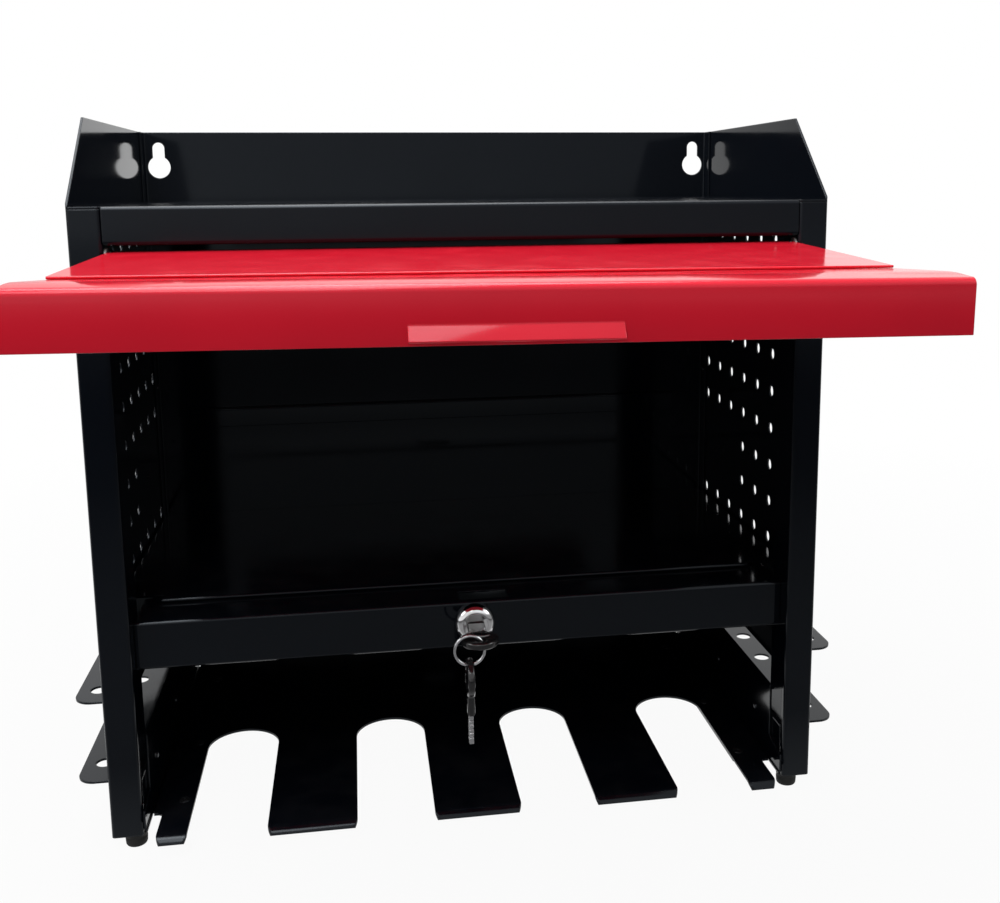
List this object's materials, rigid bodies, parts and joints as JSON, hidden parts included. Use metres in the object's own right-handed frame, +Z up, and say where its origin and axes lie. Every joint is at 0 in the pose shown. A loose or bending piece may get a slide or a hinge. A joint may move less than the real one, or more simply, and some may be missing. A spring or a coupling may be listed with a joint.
{
  "type": "tool shelf",
  "caption": "Folded-steel tool shelf: open cabinet with perforated sides, lift-up locking door, tray on top, slotted fork shelf below and drilled side racks.",
  "frame": {"origin": "middle of the footprint, on the ground, with the door open as pictured", "axes": "+X to the right seen from the front, +Y back towards the wall, +Z up"},
  "size_m": [0.4412, 0.414, 0.399],
  "materials": {
    "black_coat": "gloss powder coat",
    "red_coat": "gloss powder coat",
    "lock_chrome": "polished",
    "bright_steel": "zinc plated",
    "rivet_steel": "coated with the panels",
    "key_plastic": "moulded",
    "washer_plastic": "moulded nylon",
    "foot_rubber": "matt"
  },
  "bodies": {
    "cabinet": {"back_panel": "black_coat", "rear_stiffener": "black_coat", "top_tray": "black_coat", "lock_rail": "black_coat", "cabinet_floor": "black_coat", "fork_shelf": "black_coat", "fork_rivets": "rivet_steel", "rack_rivets": "rivet_steel", "frame_rivets": "rivet_steel", "lock_housing": "lock_chrome", "lock_nut": "bright_steel", "foot_screws": "bright_steel", "left_side_panel": "black_coat", "left_lower_bracket": "black_coat", "left_upper_rack": "black_coat", "left_lower_rack": "black_coat", "left_hinge_pin": "bright_steel", "left_hinge_washer": "washer_plastic", "left_front_foot": "foot_rubber", "left_rear_foot": "foot_rubber", "right_side_panel": "black_coat", "right_lower_bracket": "black_coat", "right_upper_rack": "black_coat", "right_lower_rack": "black_coat", "right_hinge_pin": "bright_steel", "right_hinge_washer": "washer_plastic", "right_front_foot": "foot_rubber", "right_rear_foot": "foot_rubber"},
    "door": {"door_panel": "red_coat", "door_front_strip": "red_coat"},
    "key_plug": {"lock_plug": "lock_chrome", "lock_cam": "bright_steel", "cam_screw": "bright_steel", "door_key_head": "key_plastic", "door_key_blade": "bright_steel"},
    "ring": {"key_ring": "bright_steel"},
    "spare_key": {"spare_key_head": "key_plastic", "spare_key_blade": "bright_steel"}
  },
  "joints": [
    {"name": "door_hinge", "type": "hinge", "parent": "cabinet", "child": "door", "pos_m": [0, -0.01002, 0.326], "axis": [1, 0, 0], "range_deg": [-28, 88]},
    {"name": "plug_turn", "type": "hinge", "parent": "cabinet", "child": "key_plug", "pos_m": [0.0017, -0.01002, 0.1142], "axis": [0, -1, 0], "range_deg": [0, 90]},
    {"name": "ring_swing", "type": "hinge", "parent": "key_plug", "child": "ring", "pos_m": [-0.0046, -0.03642, 0.1184], "axis": [1, 0, 0], "range_deg": [-10, 10]},
    {"name": "spare_key_swing", "type": "hinge", "parent": "ring", "child": "spare_key", "pos_m": [-0.0046, -0.03642, 0.1028], "axis": [1, 0, 0], "range_deg": [-20, 20]}
  ]
}
